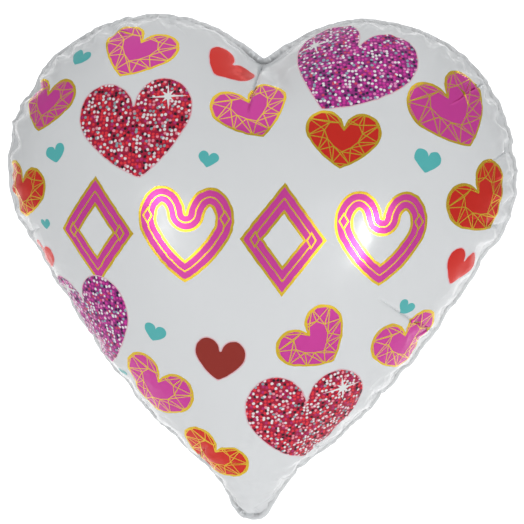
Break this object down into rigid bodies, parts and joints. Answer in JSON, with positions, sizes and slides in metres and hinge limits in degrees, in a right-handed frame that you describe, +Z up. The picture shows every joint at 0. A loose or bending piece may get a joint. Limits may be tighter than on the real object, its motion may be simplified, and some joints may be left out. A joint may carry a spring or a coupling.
{
  "type": "foil balloon",
  "caption": "Inflated heart-shaped foil balloon with a printed front film, plain silver back film, scalloped heat-sealed border, self-sealing valve and folding filling tail.",
  "frame": {"origin": "middle of the fold line of the neck, just under the tip of the heart, where a ribbon or a stick's cup holds the balloon", "axes": "+Z up through the cleft, -Y out of the printed front, +X to the right as seen from the front"},
  "size_m": [0.402, 0.1868, 0.397],
  "materials": {
    "printed_film": "semi-gloss white ink printed over metallised film",
    "silver_film": "plain silver metallised film, bright with fine creases",
    "heat_seal": "fused double film, slightly crimped",
    "valve_film": "thin clear polyethylene film",
    "valve_seal": "fused polyethylene",
    "release_coating": "matt heat-resistant ink",
    "ink_gold": "transparent gold ink over metallised film, mirror-like",
    "ink_magenta": "transparent magenta ink over metallised film",
    "ink_red": "transparent red ink over metallised film",
    "ink_teal": "opaque teal ink",
    "ink_glitter": "printed glitter of round dots in mixed tints",
    "ink_sparkle": "opaque white ink"
  },
  "bodies": {
    "balloon": {"front_panel": "printed_film", "back_panel": "silver_film", "rim_seal": "heat_seal", "valve_front_film": "valve_film", "valve_back_film": "valve_film", "valve_seal_left": "valve_seal", "valve_seal_right": "valve_seal", "valve_release_coating": "release_coating"},
    "tail": {"tail_front_film": "printed_film", "tail_back_film": "silver_film", "tail_side_seal_left": "heat_seal", "tail_side_seal_right": "heat_seal", "tail_end_seal": "heat_seal", "inlet_front_film": "valve_film", "inlet_back_film": "valve_film"}
  },
  "joints": [
    {"name": "tail_fold", "type": "hinge", "parent": "balloon", "child": "tail", "pos_m": [0, 0, 0], "axis": [-1, 0, 0], "range_deg": [0, 254]}
  ]
}
